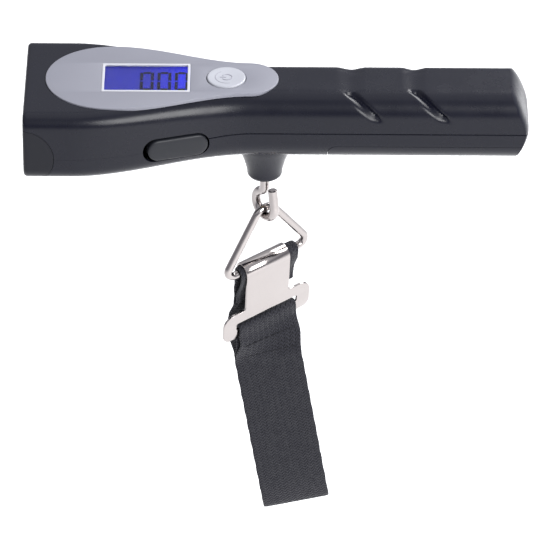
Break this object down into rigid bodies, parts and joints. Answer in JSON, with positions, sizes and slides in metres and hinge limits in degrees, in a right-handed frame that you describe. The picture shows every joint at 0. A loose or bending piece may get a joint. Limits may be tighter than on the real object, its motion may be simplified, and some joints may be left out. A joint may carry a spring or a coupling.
{
  "type": "digital luggage scale",
  "caption": "Hand-held digital luggage scale: tapered body with backlit display, torch and side switch, swivel hook, triangular ring and a buckled webbing strap loop.",
  "frame": {"origin": "centre of the hand grip, on the body axis", "axes": "+X along the body from the head to the grip end, +Z towards the display side, load hangs along -Z"},
  "size_m": [0.1822, 0.056, 0.1989],
  "materials": {
    "case_black": "fine satin moulded plastic",
    "plate_grey": "satin paint on plastic",
    "white_plastic": "smooth moulded plastic",
    "clear_window": "clear",
    "display_blue": "lit display glass",
    "display_ink": "flat",
    "board_green": "solder mask",
    "chip_black": "moulded epoxy",
    "steel": "plain plated steel",
    "button_black": "soft satin",
    "bezel_black": "satin moulded plastic",
    "mirror_coat": "metallised reflector",
    "led_cream": "phosphor dome",
    "alloy": "milled",
    "gauge_film": "polyimide film",
    "bush_brass": "turned",
    "nickel": "bright nickel plate",
    "webbing": "woven webbing",
    "thread": "sewing thread",
    "battery_jacket": "printed jacket",
    "lead_red": "insulation",
    "lead_white": "insulation",
    "lead_yellow": "insulation"
  },
  "bodies": {
    "casing": {"upper_case": "case_black", "lower_case": "case_black", "faceplate": "plate_grey", "display_frame": "white_plastic", "display_window": "clear_window", "lcd_glass": "display_blue", "lcd_segments": "display_ink", "backlight_panel": "white_plastic", "lcd_holder": "white_plastic", "main_board": "board_green", "board_components": "chip_black", "power_switch": "steel", "torch_switch": "steel", "torch_bezel": "bezel_black", "torch_reflector": "mirror_coat", "torch_lens": "clear_window", "torch_led": "led_cream", "load_cell": "alloy", "strain_gauges": "gauge_film", "load_cell_screws": "steel", "neck_bush": "bush_brass", "battery_1": "battery_jacket", "battery_2": "battery_jacket", "battery_springs": "steel", "battery_contacts": "steel", "case_screws": "steel", "battery_leads": "lead_red", "load_cell_leads": "lead_white", "torch_leads": "lead_yellow"},
    "battery_cover": {"battery_cover": "case_black"},
    "power_button": {"power_button": "white_plastic"},
    "torch_button": {"torch_button": "button_black"},
    "hook": {"hook": "nickel", "hook_washer": "steel", "hook_nut": "steel"},
    "ring": {"triangle_ring": "nickel"},
    "strap": {"buckle_plate": "nickel", "strap_webbing": "webbing", "strap_stitching": "thread"}
  },
  "joints": [
    {"name": "power_press", "type": "slide", "parent": "casing", "child": "power_button", "axis": [0, 0, -1], "range_m": [0, 0.0008], "stiffness_N_per_m": 250},
    {"name": "torch_press", "type": "slide", "parent": "casing", "child": "torch_button", "axis": [-0.2884, 0.9575, 0], "range_m": [0, 0.0009], "stiffness_N_per_m": 250},
    {"name": "cover_slide", "type": "slide", "parent": "casing", "child": "battery_cover", "axis": [1, 0, 0], "range_m": [0, 0.06]},
    {"name": "hook_swivel", "type": "hinge", "parent": "casing", "child": "hook", "pos_m": [-0.0493, 0, -0.0273], "axis": [0, 0, 1], "continuous": true},
    {"name": "ring_swing", "type": "hinge", "parent": "hook", "child": "ring", "pos_m": [-0.04904, -0.00031, -0.0416], "axis": [0.8229, 0.555, 0.1219], "range_deg": [-35, 35]},
    {"name": "strap_swing", "type": "hinge", "parent": "ring", "child": "strap", "pos_m": [-0.04855, 0.00478, -0.06811], "axis": [0.8229, 0.555, 0.1219], "range_deg": [-50, 50]}
  ]
}
